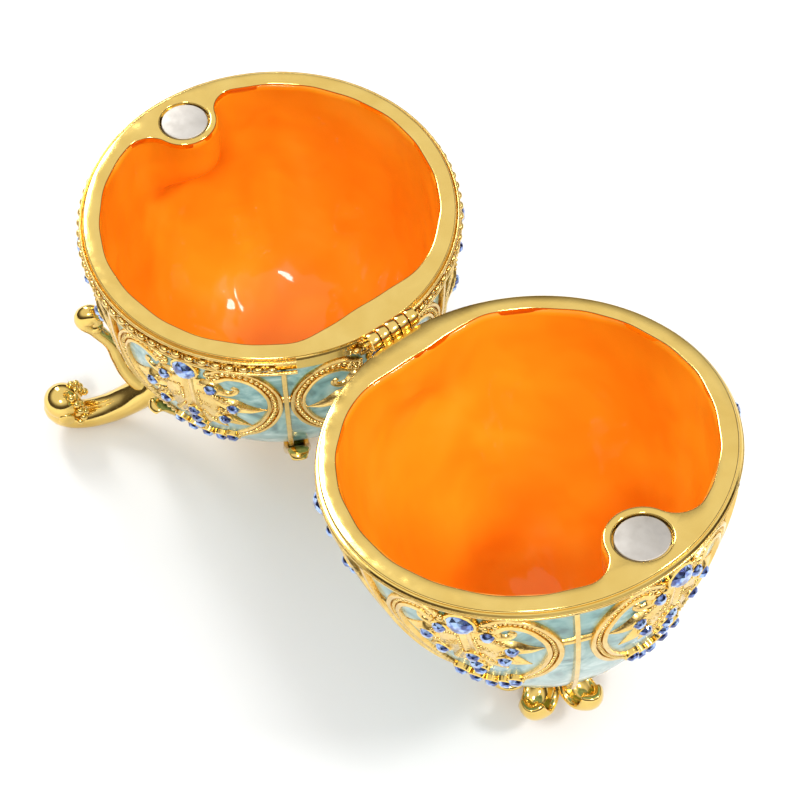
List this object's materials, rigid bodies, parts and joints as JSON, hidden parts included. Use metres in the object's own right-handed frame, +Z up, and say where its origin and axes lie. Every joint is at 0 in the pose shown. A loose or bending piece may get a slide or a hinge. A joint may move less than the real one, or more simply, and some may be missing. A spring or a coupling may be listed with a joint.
{
  "type": "jewelled egg trinket box",
  "caption": "Enamelled metal egg box lying open on its hinge: bowl on scroll legs, domed lid on a petal crown, scroll relief, blue crystals, magnet catch.",
  "frame": {"origin": "bottom centre of the open box's bounding box, on the surface it stands on", "axes": "+X from the base bowl across the hinge to the open lid, +Z up"},
  "size_m": [0.0924, 0.0566, 0.0485],
  "materials": {
    "gold_plate": "polished gold plating on cast alloy",
    "magnet_nickel": "nickel plated, dulled",
    "blue_crystal": "faceted and foil backed",
    "orange_enamel": "glossy opaque enamel",
    "teal_enamel": "glossy marbled enamel"
  },
  "bodies": {
    "base": {"base_shell": "gold_plate", "base_magnet": "magnet_nickel", "base_hinge_leaf": "gold_plate", "hinge_pin": "gold_plate", "leg_1": "gold_plate", "leg_2": "gold_plate", "leg_3": "gold_plate", "leaf_collar": "gold_plate", "base_gem_1": "blue_crystal", "base_gem_2": "blue_crystal", "base_gem_3": "blue_crystal", "base_gem_4": "blue_crystal", "base_gem_5": "blue_crystal", "base_gem_6": "blue_crystal"},
    "lid": {"lid_shell": "gold_plate", "lid_magnet": "magnet_nickel", "lid_hinge_leaf": "gold_plate", "crown_finial": "gold_plate", "lid_gem_1": "blue_crystal", "lid_gem_2": "blue_crystal", "lid_gem_3": "blue_crystal", "lid_gem_4": "blue_crystal", "lid_gem_5": "blue_crystal", "lid_gem_6": "blue_crystal"}
  },
  "joints": [
    {"name": "lid_hinge", "type": "hinge", "parent": "base", "child": "lid", "pos_m": [0.00029, 0, 0.0396], "axis": [0, 1, 0], "range_deg": [-168.3, 0]}
  ]
}
